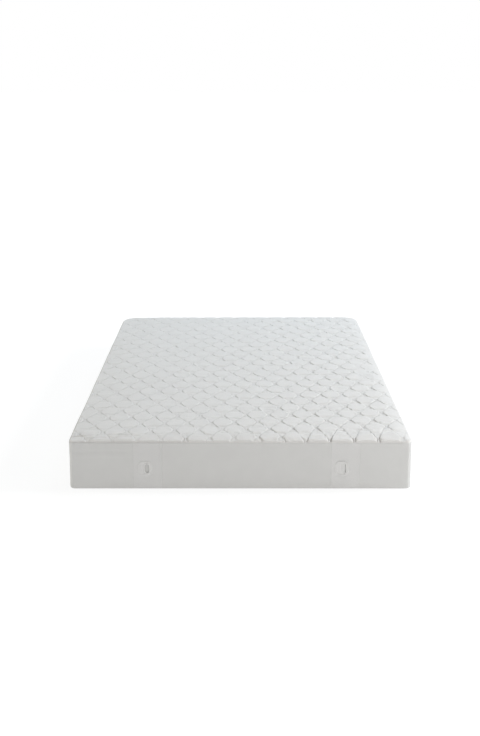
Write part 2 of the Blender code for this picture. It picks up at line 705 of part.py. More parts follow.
cotton = new_material("Quilted cotton face", (0.80, 0.81, 0.81), 0.85)
knit = new_material("Stretch knit skirt", (0.78, 0.78, 0.77), 0.80)
woven = new_material("Woven polyester", (0.80, 0.80, 0.79), 0.75)
batting = new_material("Polyester batting", (0.85, 0.85, 0.84), 0.95)
elastic = new_material("Hem elastic", (0.74, 0.74, 0.72), 0.70)
satin = new_material("Satin tag", (0.82, 0.82, 0.82), 0.45)
housing = new_material("Socket housing", (0.72, 0.72, 0.70), 0.45)
insulator = new_material("Contact carrier", (0.62, 0.62, 0.60), 0.50)
lead_sheath = new_material("Lead sheath", (0.75, 0.75, 0.73), 0.50)
wire_sheath = new_material("Heating wire sheath", (0.70, 0.68, 0.62), 0.55)
brass = new_material("Pins", (0.72, 0.60, 0.33), 0.30, 1.0)

build_quilt_cover()
build_quilt_layers()
build_seam_tape()
build_skirt()
build_hem_elastic()
for outlet_side, outlet_x in OUTLETS:
    build_heating_wire(outlet_side, outlet_x)
    build_splice(outlet_side, outlet_x)
    build_lead(outlet_side, outlet_x)
    build_strain_relief(outlet_side, outlet_x)
    build_shells(outlet_side, outlet_x)
    build_contacts(outlet_side, outlet_x)
    build_pocket(outlet_side, outlet_x)
    build_outlet_patch(outlet_side, outlet_x)
build_care_tag()

for solid in parts.objects:
    if solid.type == "MESH":
        solid.data.shade_smooth()
        solid.data.set_sharp_from_angle(angle=math.radians(35))
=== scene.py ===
# Heated mattress pad, queen size: the finished cloth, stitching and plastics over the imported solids
import math

import bmesh
import bpy
from mathutils import Matrix, Vector, noise


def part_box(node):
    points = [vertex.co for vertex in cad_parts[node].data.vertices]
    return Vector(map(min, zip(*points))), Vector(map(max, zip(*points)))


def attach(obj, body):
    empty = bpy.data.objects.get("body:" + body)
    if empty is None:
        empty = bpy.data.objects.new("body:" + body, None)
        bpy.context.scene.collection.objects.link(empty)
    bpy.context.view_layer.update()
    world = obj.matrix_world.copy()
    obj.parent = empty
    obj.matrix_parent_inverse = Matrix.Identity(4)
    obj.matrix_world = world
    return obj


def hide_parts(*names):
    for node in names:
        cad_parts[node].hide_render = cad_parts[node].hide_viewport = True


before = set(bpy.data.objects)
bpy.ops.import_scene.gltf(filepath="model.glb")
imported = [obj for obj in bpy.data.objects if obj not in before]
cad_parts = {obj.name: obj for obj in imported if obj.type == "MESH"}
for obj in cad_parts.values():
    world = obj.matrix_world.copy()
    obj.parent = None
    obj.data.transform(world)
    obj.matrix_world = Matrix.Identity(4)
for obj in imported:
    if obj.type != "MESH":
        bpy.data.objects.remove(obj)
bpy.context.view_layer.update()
scene = bpy.context.scene

pad = {
    "halfWidth": 0.762,
    "halfLength": 1.016,
    "footRadius": 0.020,
    "headRadius": 0.080,
    "tuck": 0.090,  # how far the skirt turns in under the mattress
    "tuckRadius": 0.060,
    "bend": 0.008,
}


# Node helpers

class Value:
    # a shader socket that can be used in sums
    def __init__(self, finish, socket):
        self.finish, self.socket = finish, socket

    def calc(self, operation, *others):
        values = dict(enumerate((self, *others)))
        return self.finish.node("ShaderNodeMath", {"operation": operation}, values)

    def wave(self, length):
        return (self * (math.tau / length)).calc("SINE")

    def __add__(self, other):
        return self.calc("ADD", other)

    def __sub__(self, other):
        return self.calc("SUBTRACT", other)

    def __mul__(self, other):
        return self.calc("MULTIPLY", other)

    def __rsub__(self, other):
        return (self * -1) + other

    __radd__ = __add__
    __rmul__ = __mul__


class Finish:
    def __init__(self, name):
        self.material = bpy.data.materials.new(name)
        self.material.use_nodes = True
        self.tree = self.material.node_tree
        self.surface = self.tree.nodes["Principled BSDF"]
        self.coords = self.node("ShaderNodeTexCoord", output="Object")

    def node(self, kind, settings=None, values=None, output=0):
        made = self.tree.nodes.new(kind)
        for key, value in (settings or {}).items():
            if key == "stops":
                ramp = made.color_ramp.elements
                for number, (place, grey) in enumerate(value):
                    stop = ramp[number] if number < 2 else ramp.new(place)
                    stop.position, stop.color = place, (grey, grey, grey, 1)
            else:
                setattr(made, key, value)
        for key, value in (values or {}).items():
            if isinstance(value, Value):
                self.tree.links.new(value.socket, made.inputs[key])
            else:
                made.inputs[key].default_value = value
        return Value(self, made.outputs[output])

    def parts(self, vector):
        made = self.node("ShaderNodeSeparateXYZ", values={0: vector})
        outputs = made.socket.node.outputs
        return [Value(self, outputs[axis]) for axis in range(3)]

    def attribute(self, name):
        return self.node("ShaderNodeAttribute", {"attribute_name": name}, output="Fac")

    def flatPlace(self):
        return self.node("ShaderNodeUVMap", {"uv_map": "cloth"})

    def grain(self, vector, scale, detail=2.0):
        # noise between 0 and 1, with its middle at 0.5
        return self.node("ShaderNodeTexNoise", values={"Vector": vector, "Scale": scale, "Detail": detail})

    def stretched(self, vector, scale):
        return self.node("ShaderNodeMapping", values={"Vector": vector, "Scale": scale})

    def fades(self, value, start, end):
        # 0 before start, 1 past end
        names = {"Value": value, "From Min": start, "From Max": end}
        return self.node("ShaderNodeMapRange", {"interpolation_type": "SMOOTHSTEP"}, names)

    def mix(self, factor, first, second):
        # the two colours go in at 6 and 7
        return self.node("ShaderNodeMix", {"data_type": "RGBA"}, {0: factor, 6: first, 7: second}, output=2)

    def apply(self, **values):
        for key, value in values.items():
            socket = self.surface.inputs[key.replace("_", " ")]
            if isinstance(value, Value):
                self.tree.links.new(value.socket, socket)
            else:
                socket.default_value = value

    def bump(self, height):
        # height in metres
        return self.node("ShaderNodeBump", values={"Height": height, "Distance": 1.0, "Strength": 1.0})


def shade(colour, share):
    return (*(part * share for part in colour), 1.0)


# Finishes

lookParts = "colour", "pitch", "relief", "rough", "sheen"
clothLooks = {
    "quiltFace": ((0.763, 0.746, 0.726), 0.0009, 0.00006, 0.86, 0.10),
    "skirtKnit": ((0.692, 0.686, 0.672), 0.0011, 0.00005, 0.80, 0.08),
    # partly painted light: the inserts' own woven cloth, made a little lighter than the knit for the
    # brighter tone that light gives the insert at the right
    "insertWeave": ((0.717, 0.709, 0.698), 0.0018, 0.00016, 0.78, 0.05),
    # painted light: the patch's weave is a lighter copy of the insert's, brightening the ring round the
    # slit
    "litPatchWeave": ((0.750, 0.741, 0.729), 0.0018, 0.00016, 0.78, 0.05),
    # painted shade: the flap's cloth is darker than the insert's so that the inside of the slit looks
    # shaded
    "shadedFlapCotton": ((0.66, 0.655, 0.64), 0.0010, 0.00006, 0.85, 0.05),
    "backingWeave": ((0.66, 0.66, 0.65), 0.0012, 0.00008, 0.82, 0.10),
    # the binding tape's own light tone, raised further as a painted highlight along the slit's rolled lip;
    # the pocket and the seam tape share it
    "bindingTwill": ((0.88, 0.875, 0.86), 0.0010, 0.00012, 0.70, 0.15),
}
clothRelief = {"fuzz": 0.00008, "uneven": 0.0004}  # the same on every cloth
stitchRow = {  # the quilting's rows of stitches, and the groove they draw
    "thread": 0.0006,
    "pitch": 0.0034,
    "groove": 0.0026,
    # painted shade: how dark the colour is made along the stitch grooves
    "paintedGrooveShade": 0.88,
    "threadShade": 1.06,
    "sunk": 0.0003,
    "raised": 0.0004,
    "puckers": 0.0014,
    "puckerStretch": (24.0, 80.0, 24.0),
    "puckerReach": (0.004, 0.030),
}
seamRow = {  # the row beside a panel's or a patch's edge
    "inset": 0.0042,
    "thread": 0.0005,
    "pitch": 0.0030,
    "drawn": (0.0003, 0.0014),
    # painted shade: how dark the colour is made along the drawn-in seam line
    "paintedSeamShade": 0.90,
    "threadShade": 1.05,
    "sunk": 0.0002,
    "raised": 0.0003,
}


def threads(finish, flat, pitch, knit):
    # the height of a weave, or of a knit's ribs, from 0 to 1
    across, along, _ = finish.parts(flat)
    over, under = across.wave(pitch), along.wave(pitch)
    if knit:
        return (over * 0.35 + under * 0.15) + 0.5
    return (over * under) * 0.5 + 0.5


def stitched(finish, distance, along, reach, pitch):
    # a mask of sewing thread: short dashes on the line where distance is 0
    onLine = 1 - finish.fades(distance.calc("ABSOLUTE"), reach * 0.6, reach)
    dash = finish.fades(along.wave(pitch), -0.7, -0.2)
    return onLine * dash


def clothFinish(name, flat="uv", knit=False, quilted=False, seams=False):
    look = dict(zip(lookParts, clothLooks[name]))
    finish = Finish(name)
    place = finish.coords
    flat = finish.flatPlace() if flat == "uv" else place
    weave = threads(finish, flat, look["pitch"], knit)
    fuzz = finish.grain(place, 900.0)
    mottle = finish.grain(place, 16.0, 4.0)
    uneven = finish.grain(place, 60.0, 3.0)
    height = weave * look["relief"] + fuzz * clothRelief["fuzz"] + uneven * clothRelief["uneven"]
    worn = finish.fades(mottle, 0.35, 0.65)
    colour = finish.mix(worn, shade(look["colour"], 0.985), shade(look["colour"], 1.015))
    fine = weave * 0.5 + fuzz * 0.5
    colour = finish.mix(finish.fades(fine, 0.2, 0.7), shade(look["colour"], 0.94), colour)
    if quilted:
        distance, along = finish.attribute("toStitch"), finish.attribute("alongStitch")
        near = 1.1 - finish.fades(distance, *stitchRow["puckerReach"])
        creases = finish.grain(finish.stretched(place, stitchRow["puckerStretch"]), 1.0, 2.0)
        height = height + creases * near * stitchRow["puckers"]
        thread = stitched(finish, distance, along, stitchRow["thread"], stitchRow["pitch"])
        groove = 1 - finish.fades(distance, 0.0002, stitchRow["groove"])
        height = height - groove * stitchRow["sunk"] + thread * stitchRow["raised"]
        # painted shade: the colour is darkened in the stitch grooves, where shade falls
        colour = finish.mix(groove * 0.5, colour, shade(look["colour"], stitchRow["paintedGrooveShade"]))
        colour = finish.mix(thread, colour, shade(look["colour"], stitchRow["threadShade"]))
    if seams:
        distance, along = finish.attribute("toSeam") - seamRow["inset"], finish.attribute("alongSeam")
        thread = stitched(finish, distance, along, seamRow["thread"], seamRow["pitch"])
        drawn = 1 - finish.fades(distance.calc("ABSOLUTE"), *seamRow["drawn"])
        height = height - drawn * seamRow["sunk"] + thread * seamRow["raised"]
        # painted shade: the colour is darkened along the seam line the stitches draw in
        colour = finish.mix(drawn * 0.2, colour, shade(look["colour"], seamRow["paintedSeamShade"]))
        colour = finish.mix(thread, colour, shade(look["colour"], seamRow["threadShade"]))
    finish.apply(
        Base_Color=colour,
        Roughness=look["rough"] + (mottle - 0.5) * 0.06,
        Normal=finish.bump(height),
        Sheen_Weight=look["sheen"],
        Sheen_Roughness=0.6,
        Specular_IOR_Level=0.25,
    )
    return finish.material


plasticLooks = {
    "socketHousing": {"colour": (0.60, 0.60, 0.58), "rough": 0.42, "grain": 0.00004},
    "insulatorBlock": {"colour": (0.50, 0.50, 0.48), "rough": 0.50, "grain": 0.00003},
    "leadSheath": {"colour": (0.62, 0.62, 0.60), "rough": 0.48, "grain": 0.00002},
    "wireSheath": {"colour": (0.56, 0.53, 0.45), "rough": 0.55, "grain": 0.00002},
}


def plasticFinish(name):
    look = plasticLooks[name]
    finish = Finish(name)
    cloudy = finish.grain(finish.coords, 35.0, 3.0)
    spark = finish.grain(finish.coords, 1400.0, 1.0)
    dark, light = shade(look["colour"], 0.95), shade(look["colour"], 1.04)
    colour = finish.mix(finish.fades(cloudy, 0.3, 0.7), dark, light)
    finish.apply(
        Base_Color=colour,
        Roughness=look["rough"] + (cloudy - 0.5) * 0.12,
        Normal=finish.bump(spark * look["grain"]),
    )
    return finish.material


def brassFinish():
    finish = Finish("turnedBrass")
    rings = finish.grain(finish.stretched(finish.coords, (2400.0, 60.0, 60.0)), 1.0, 1.0)
    dull = finish.grain(finish.coords, 300.0, 3.0)
    colour = finish.mix(dull, (0.66, 0.50, 0.22, 1), (0.80, 0.64, 0.32, 1))
    finish.apply(
        Base_Color=colour,
        Metallic=1.0,
        Roughness=0.24 + dull * 0.14,
        Normal=finish.bump(rings * 0.00002),
    )
    return finish.material


elasticLook = {"rib": 0.0016, "cord": 0.0022, "relief": 0.0002}


def ribbedFinish():
    finish = Finish("ribbedElastic")
    across, along, _ = finish.parts(finish.flatPlace())
    ribs = across.wave(elasticLook["rib"]) * 0.5 + 0.5
    cords = along.wave(elasticLook["cord"]) * 0.5 + 0.5
    height = ribs * elasticLook["relief"] + cords * elasticLook["relief"]
    colour = finish.mix(ribs * cords, (0.56, 0.56, 0.54, 1), (0.68, 0.68, 0.66, 1))
    finish.apply(Base_Color=colour, Roughness=0.74, Normal=finish.bump(height))
    return finish.material


satinLook = {
    "weave": 0.0005,
    "row": 0.0228,  # how far over the tag's middle the stitches run
    "thread": 0.0005,
    "pitch": 0.0027,
}


def satinFinish():
    finish = Finish("satinTag")
    flat = finish.flatPlace()
    across, along, _ = finish.parts(flat)
    weave = threads(finish, flat, satinLook["weave"], False)
    streak = finish.grain(finish.stretched(flat, (4000.0, 60.0, 1.0)), 1.0, 1.0)
    thread = stitched(finish, along - satinLook["row"], across, satinLook["thread"], satinLook["pitch"])
    colour = finish.mix(streak, (0.66, 0.66, 0.66, 1), (0.76, 0.76, 0.76, 1))
    colour = finish.mix(thread, colour, (0.52, 0.52, 0.51, 1))
    height = weave * 0.00002 + streak * 0.00004 + thread * 0.0002
    finish.apply(Base_Color=colour, Roughness=0.42, Normal=finish.bump(height))
    return finish.material


finishes = {
    "quiltFace": clothFinish("quiltFace", flat="object", quilted=True),
    "skirtKnit": clothFinish("skirtKnit", knit=True, seams=True),
    "insertWeave": clothFinish("insertWeave", seams=True),
    "litPatchWeave": clothFinish("litPatchWeave", seams=True),
    "shadedFlapCotton": clothFinish("shadedFlapCotton"),
    "backingWeave": clothFinish("backingWeave", flat="object", quilted=True),
    "bindingTwill": clothFinish("bindingTwill"),
    "ribbedElastic": ribbedFinish(),
    "satinTag": satinFinish(),
    "turnedBrass": brassFinish(),
    **{name: plasticFinish(name) for name in plasticLooks},
}
print("finishes made:", len(finishes))


# Shapes that several pieces share

def placed(name, data):
    made = bpy.data.objects.new(name, data)
    scene.collection.objects.link(made)
    return made


def newPiece(name, bm, finish, slot, thickness=0.0, offset=-1.0, body="pad"):
    mesh = bpy.data.meshes.new(name)
    bm.to_mesh(mesh)
    bm.free()
    mesh.shade_smooth()
    mesh.materials.append(finishes[finish])
    piece = placed(name, mesh)
    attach(piece, body)
    if thickness:
        made = piece.modifiers.new("thickness", "SOLIDIFY")
        made.thickness, made.offset = thickness, offset
    return piece


def rimOf(made):
    return [item for item in made if isinstance(item, bmesh.types.BMEdge) and item.is_boundary]


def unwrap(bm, place):
    # place says where a point lies on the flat cloth
    uv = bm.loops.layers.uv.get("cloth") or bm.loops.layers.uv.new("cloth")
    for face in bm.faces:
        for loop in face.loops:
            loop[uv].uv = place(loop.vert)


def smooth(value, start, end):
    share = max(0.0, min(1.0, (value - start) / (end - start)))
    return share * share * (3 - 2 * share)


def bell(distance, width):
    return math.exp(-((distance / width) ** 2))


def ripple(x, y, seed):
    return noise.noise(Vector((x, y, seed)))


def lines(low, high, step):
    count = max(1, math.ceil((high - low) / step))
    return [low + (high - low) * number / count for number in range(count + 1)]


def thinned(values, least):
    kept = values[:1]
    for value in values[1:]:
        if value - kept[-1] > least:
            kept.append(value)
    return kept


def keepSide(bm, point, normal):
    # cuts by a plane and drops what lies on the normal's side; faces short of the plane aren't looked at
    point, normal = Vector(point), Vector(normal).normalized()
    near = [face for face in bm.faces if max((vert.co - point).dot(normal) for vert in face.verts) > -1e-6]
    geometry = dict.fromkeys(item for face in near for item in (face, *face.edges, *face.verts))
    bmesh.ops.bisect_plane(bm, geom=list(geometry), plane_co=point, plane_no=normal, clear_outer=True)


def roundedPlan(halfX, halfY, lowRadius, highRadius, steps):
    plan = []
    for sideX, sideY, start, radius in (
        (1, -1, -90, lowRadius),
        (1, 1, 0, highRadius),
        (-1, 1, 90, highRadius),
        (-1, -1, 180, lowRadius),
    ):
        for step in range(steps + 1):
            angle = math.radians(start + 90 * step / steps)
            x = sideX * (halfX - radius) + radius * math.cos(angle)
            plan.append(Vector((x, sideY * (halfY - radius) + radius * math.sin(angle))))
    return plan


def trimToPlan(bm, plan):
    for here, after in zip(plan, plan[1:] + plan[:1]):
        run = after - here
        if run.length > 1e-5:
            keepSide(bm, (here.x, here.y, 0), (run.y, -run.x, 0))


def padPlan(inset, steps=10):
    return roundedPlan(
        pad["halfWidth"] - inset,
        pad["halfLength"] - inset,
        pad["footRadius"] - inset,
        pad["headRadius"] - inset,
        steps,
    )


def outward(point):
    # the pad's outline faces this way at a point near its edge, and the point is this far inside
    radius = pad["headRadius"] if point.y > 0 else pad["footRadius"]
    pastX = abs(point.x) - pad["halfWidth"] + radius
    pastY = abs(point.y) - pad["halfLength"] + radius
    if pastX > 0 and pastY > 0:
        way = Vector((math.copysign(pastX, point.x), math.copysign(pastY, point.y), 0))
        return way.normalized(), radius - way.length
    if pastX > pastY:
        return Vector((math.copysign(1, point.x), 0, 0)), radius - pastX
    return Vector((0, math.copysign(1, point.y), 0)), radius - pastY


# The quilted top

quilt = {
    "gap": 0.054,  # between two stitch lines
    "cell": 0.171,
    "wave": 0.022,
    "pinch": 0.93,  # nearer to 1 makes the waves more pointed
    "shift": (0.004, 0.042),
    "turn": math.radians(2.4),
    "valley": 0.2218,
    "puff": 0.0062,
    "swell": 0.0125,  # how much higher the middle of the pad lies than its edge
    "swellReach": 0.085,
    "slopeReach": 0.30,
    "edgeRoll": 0.008,
    "seamInset": 0.0012,
    "grooveInset": 0.0030,  # at the left of the foot a groove shows between the top and the skirt
    "seamHeight": 0.2180,
    "under": 0.2163,
    "pull": 0.050,  # the last row at the right of the foot is stretched out to the seam
    "drift": 0.022,  # and the lines wander to the left on their way to the foot, more so at its right
    "driftRight": 0.006,
    "drawnDown": 0.0050,  # how deep the stitch lines run into the foot's seam
    "rippleHeight": 0.0018,
    "rollSteps": 5,
}
swelling = {
    "frames": 12,
    "crown": 0.0040,  # the cells are pressed flat: they near this height
    "within": 0.0023,  # where the swollen cloth has reached about this one
    "rest": 0.20,  # and keep this share of what it rises further
    "limits": (-0.0005, 0.020),
}
clothSettings = {
    "quality": 5,
    "mass": 0.3,
    "air_damping": 8.0,
    "tension_stiffness": 20.0,
    "compression_stiffness": 20.0,
    "shear_stiffness": 5.0,
    "bending_stiffness": 0.05,
    "vertex_group_mass": "stitches",
    "pin_stiffness": 50.0,
    "use_pressure": True,
    "uniform_pressure_force": 4.0,
    "shrink_min": -0.045,  # the cloth is this share longer than the shape it starts from
}
fullness = {  # how high the cells stand: right and foot add to it, the others but least take from it
    "least": 0.54,
    "right": 0.29,
    "atRightEdge": 0.5,
    "foot": 0.08,
    "head": 0.12,
    "strip": 0.55,
    "seam": 0.35,
    "seamWidth": 0.004,
}
strip = {  # two upright seams at the right of the top, with flatter cloth between them
    "low": -0.256,
    "high": 0.110,
    "left": 0.6349,
    "slant": 0.0464,
    "right": 0.6885,
}


def stitchLine(number, along):
    pinch = quilt["pinch"] + (0.995 - quilt["pinch"]) * smooth(-along, 0.93, 0.98)
    swing = math.asin(pinch * math.cos(math.tau * along / quilt["cell"])) / math.asin(pinch)
    return (number + 0.5) * quilt["gap"] + (-1) ** number * quilt["wave"] * swing


def latticeSheet(across, along, level, puff):
    # a sheet whose columns follow the stitch lines, and whose cells rise between them
    gaps = 2 * math.ceil(pad["halfWidth"] / quilt["gap"]) + 1
    cells = math.ceil(2 * (pad["halfLength"] + 0.09) / quilt["cell"])
    length = cells * quilt["cell"]
    bm = bmesh.new()
    bmesh.ops.create_grid(bm, x_segments=gaps * across, y_segments=cells * along, size=0.5)
    toStitch = bm.verts.layers.float.new("toStitch")
    alongStitch = bm.verts.layers.float.new("alongStitch")
    held = bm.verts.layers.int.new("held")

    # how far each row lies along a stitch line, and how steeply the line crosses it there
    rows, travelled = [], 0.0
    for row in range(cells * along + 1):
        y = length * (row / (cells * along) - 0.5)
        step = stitchLine(0, y) - stitchLine(0, y - 0.001)
        travelled += math.hypot(1, step / 0.001) * length / (cells * along)
        rows.append((y, travelled, 1 / math.hypot(1, step / 0.001)))

    turn = Matrix.Rotation(quilt["turn"], 3, "Z")
    for vert in bm.verts:
        column = round((vert.co.x + 0.5) * gaps * across)
        y, travel, slope = rows[round((vert.co.y + 0.5) * cells * along)]
        number, part = divmod(column, across)
        if number == gaps:
            number, part = gaps - 1, across
        number -= gaps // 2
        share = part / across
        share -= 0.6 * math.sin(math.tau * share) / math.tau
        left, right = stitchLine(number - 1, y), stitchLine(number, y)
        x = left + (right - left) * share
        width = (right - left) / (quilt["gap"] + 2 * quilt["wave"])
        crown = (1 - abs(2 * share - 1) ** 2.4) ** 0.62 * width**0.6
        spot = turn @ Vector((x + quilt["shift"][0], y + quilt["shift"][1], 0))
        distance = min(share, 1 - share) * (right - left) * slope
        vert.co = pulledOut(spot)
        vert.co.z = level + puff * crown * (0.95 + 0.2 * noise.noise(spot * 7) + puckers(spot))
        vert[toStitch] = distance
        vert[alongStitch] = travel
        vert[held] = part in (0, across)
    return bm


def pulledOut(spot):
    share = smooth(spot.x, 0.20, 0.30) * max(0.0, (-0.892 - spot.y) / 0.0855)
    drift = (max(0.0, -0.40 - spot.y) / 0.616) ** 1.5
    drift *= quilt["drift"] + quilt["driftRight"] * smooth(spot.x, 0.10, 0.30)
    return Vector((spot.x - drift, spot.y - quilt["pull"] * share, 0))


def puckers(spot):
    return 0.17 * ripple(spot.x * 13, spot.y * 47, 2.0) + 0.07 * ripple(spot.x * 30, spot.y * 95, 5.0)


def settle(bm):
    # the cover swells and puckers between its stitch lines: cloth under pressure, held along them
    held = bm.verts.layers.int["held"]
    mesh = bpy.data.meshes.new("swelling")
    bm.to_mesh(mesh)
    sheet = placed("swelling", mesh)
    bm.verts.index_update()
    pinned = [vert.index for vert in bm.verts if vert[held]]
    sheet.vertex_groups.new(name="stitches").add(pinned, 1.0, "REPLACE")
    cloth = sheet.modifiers.new("cloth", "CLOTH")
    for key, value in clothSettings.items():
        setattr(cloth.settings, key, value)
    cloth.settings.effector_weights.gravity = 0.0
    cloth.collision_settings.use_collision = False
    cloth.point_cache.frame_end = swelling["frames"]
    for step in range(1, swelling["frames"] + 1):
        scene.frame_set(step)
    settled = sheet.evaluated_get(bpy.context.evaluated_depsgraph_get()).data
    lowest, highest = swelling["limits"]
    for vert, after in zip(bm.verts, settled.vertices):
        height = max(lowest, min(highest, after.co.z))
        flattened = swelling["crown"] * (1 - math.exp(-height / swelling["within"]))
        vert.co = after.co.x, after.co.y, flattened + swelling["rest"] * height
    bpy.data.objects.remove(sheet)
    scene.frame_set(1)


def loft(spot):
    # fuller at the right and at the foot, and flattened between the strip's two seams
    value = fullness["least"] + fullness["right"] * smooth(spot.x, -0.50, 0.60)
    value *= 1 - fullness["atRightEdge"] * smooth(spot.x, 0.69, 0.75)
    towardsFoot, towardsHead = smooth(-spot.y, 0.60, 0.90), smooth(spot.y, 0.0, 0.6)
    value *= 1 + fullness["foot"] * towardsFoot - fullness["head"] * towardsHead
    if strip["low"] - 0.01 < spot.y < strip["high"] + 0.01:
        left, right = strip["left"] + strip["slant"] * spot.y, strip["right"]
        pressed = fullness["strip"] * smooth(spot.x, left - 0.012, left)
        value *= 1 - pressed * (1 - smooth(spot.x, right, right + 0.012))
        for line in (left, right):
            value -= fullness["seam"] * bell(spot.x - line, fullness["seamWidth"])
    return value


def swell(spot):
    # the pad lies lower along its edge, and slopes off more gently at its left
    inset = min(pad["halfWidth"] - spot.x, pad["halfLength"] - abs(spot.y))
    share = max(0.0, min(1.0, 1 - inset / quilt["swellReach"]))
    slope = max(0.0, min(1.0, 1 - (spot.x + pad["halfWidth"]) / quilt["slopeReach"]))
    return quilt["swell"] * (1 - share * share) ** 0.5 * (1 - slope * slope)


def pinched(spot, distance):
    # the stitch lines are drawn down where they run into the foot's seam, and at its left the cover ripples
    if spot.y > -0.9:
        return 0.0
    inset = spot.y + pad["halfLength"]
    atLeft = smooth(-spot.x, 0.46, 0.50) * smooth(-spot.y, 0.915, 0.945)
    rippled = atLeft * quilt["rippleHeight"] * math.sin(spot.y * 250)
    drawn = smooth(spot.x, 0.17, 0.20) - smooth(spot.x, 0.64, 0.68) + bell(spot.x + 0.25, 0.02)
    return quilt["drawnDown"] * drawn * bell(distance, 0.005) * (1 - smooth(inset, 0.008, 0.022)) - rippled


def buildQuilt():
    bm = latticeSheet(10, 26, 0.0, quilt["puff"])
    settle(bm)
    toStitch = bm.verts.layers.float["toStitch"]
    for vert in bm.verts:
        height = vert.co.z * loft(vert.co) + swell(vert.co) - pinched(vert.co, vert[toStitch])
        vert.co.z = quilt["valley"] + height
    print("cover swollen")
    trimToPlan(bm, padPlan(quilt["edgeRoll"]))
    ring = [edge for edge in bm.edges if edge.is_boundary]
    start = {vert: vert.co.copy() for edge in ring for vert in edge.verts}
    for step in range(1, quilt["rollSteps"] + 1):
        angle = min(math.pi / 2 - 1e-6, math.pi / 2 * step / quilt["rollSteps"])
        made = bmesh.ops.extrude_edge_only(bm, edges=ring)["geom"]
        ring = rimOf(made)
        moved = {vert: None for edge in ring for vert in edge.verts}
        for vert in moved:
            beside = [edge.other_vert(vert) for edge in vert.link_edges]
            below = next(other for other in beside if other in start)
            moved[vert] = start[below]
            way, _ = outward(start[below])
            reach = quilt["edgeRoll"] - quilt["seamInset"]
            grooved = max(0.0, -way.y) * (1 - smooth(start[below].x, -0.32, -0.12))
            reach -= (quilt["grooveInset"] - quilt["seamInset"]) * grooved
            vert.co = start[below] + way * reach * math.sin(angle) ** 0.6
            rise = start[below].z - quilt["seamHeight"]
            vert.co.z = quilt["seamHeight"] + rise * math.cos(angle) ** 0.6
        start = moved
    # straight down to the underside, which is closed
    made = bmesh.ops.extrude_edge_only(bm, edges=ring)["geom"]
    for item in made:
        if isinstance(item, bmesh.types.BMVert):
            item.co.z = quilt["under"]
    bmesh.ops.contextual_create(bm, geom=rimOf(made))
    bmesh.ops.recalc_face_normals(bm, faces=bm.faces)
    piece = newPiece("quiltTop", bm, "quiltFace", "quilted_cotton")
    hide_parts("quilt_cover", "quilt_fill")


backing = {"inset": 0.0028, "height": 0.2127, "puff": -0.0004, "thickness": 0.0008}


def buildBacking():
    bm = latticeSheet(4, 12, backing["height"], backing["puff"])
    trimToPlan(bm, padPlan(backing["inset"]))
    piece = newPiece("quiltBacking", bm, "backingWeave", "woven_polyester", backing["thickness"], 0.0)
    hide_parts("quilt_backing")


buildQuilt()
buildBacking()
print("quilted top made")


# The skirt: panels that follow the pad's outline, its bend and its hem

skirt = {
    "thickness": 0.0012,
    "topHeight": 0.2203,
    "rowStep": 0.007,
    "columnStep": 0.0062,
    "gather": 0.0040,  # height of the gathers at the hem
    "gatherPitch": 0.031,
    "seam": 0.00006,  # half of the gap between two panels
    "overlap": 0.0006,  # what an insert laps over the panels beside it
    "lap": 0.0004,
    "fold": 0.0003,  # how far an insert's folded edge stands out
    "innerFold": 0.0017,
}
folds = {
    "footShare": 0.12,  # the foot's folds keep only this share
    "broad": 0.0033,
    "upright": 0.0045,
    "uprightTop": 0.17,
    "slack": 0.0018,
    "allowance": 0.0011,  # the seam allowance inside presses out
    "allowanceHeight": 0.2125,
    "cornerFold": 0.0009,
    "cornerEdge": 0.0007,
}
lips = {  # the slit's edges
    "least": 0.22,  # the slit's width at its very ends, as a share
    "reach": 0.012,  # how far beside it the cloth is drawn in
    "roll": (0.0036, 0.0042),
    "left": 0.10,
    "right": 1.0,
    "above": 0.25,
    "below": 0.75,
}
patch = {"width": 0.068, "radius": 0.030, "thickness": 0.0002, "beyondSlit": 0.014, "gap": 0.0002}
outline = {  # where the patch's edge shows through: a ridge, and a shallow groove round it
    "halfWidth": 0.031,
    "halfHeight": 0.0335,
    "ridge": 0.91,
    "groove": 1.22,
    "soft": 0.09,
    "fold": 0.0007,
    "foldPitch": 0.0125,
}
alongX, alongY = Vector((1, 0, 0)), Vector((0, 1, 0))
halfX, halfY = pad["halfWidth"], pad["halfLength"]
footRadius, headRadius = pad["footRadius"], pad["headRadius"]
sides = {  # along, outward, half length, reach, radius at the low end, radius at the high end
    "foot": (alongX, -alongY, halfX, halfY, footRadius, footRadius),
    "right": (alongY, alongX, halfY, halfX, footRadius, headRadius),
    "head": (-alongX, alongY, halfX, halfY, headRadius, headRadius),
    "left": (-alongY, -alongX, halfY, halfX, headRadius, footRadius),
}
outlets = {
    "left": {"centre": -0.4157, "slit": 0.0240, "lip": 0.0026, "ring": 0.0018, "insert": (-0.478, -0.350)},
    "right": {"centre": 0.4684, "slit": 0.0100, "lip": 0.0030, "ring": 0.0033, "insert": (0.404, 0.532)},
}
slitHeight, outletHeight = 0.044, 0.100
slitBottom, slitTop = outletHeight - slitHeight / 2, outletHeight + slitHeight / 2


def sideEnds(side):
    _, _, half, _, lowRadius, highRadius = sides[side]
    low = -(half - lowRadius) - lowRadius * math.pi / 4
    return low, half - highRadius + highRadius * math.pi / 4


def wallPoint(side, u, inset, height):
    along, out, half, reach, lowRadius, highRadius = sides[side]
    radius = highRadius if u > 0 else lowRadius
    straight = max(radius - half, min(half - radius, u))
    turn = (u - straight) / radius
    normal = along * math.sin(turn) + out * math.cos(turn)
    point = along * straight + out * (reach - radius) + normal * (radius - inset)
    return Vector((point.x, point.y, height)), normal


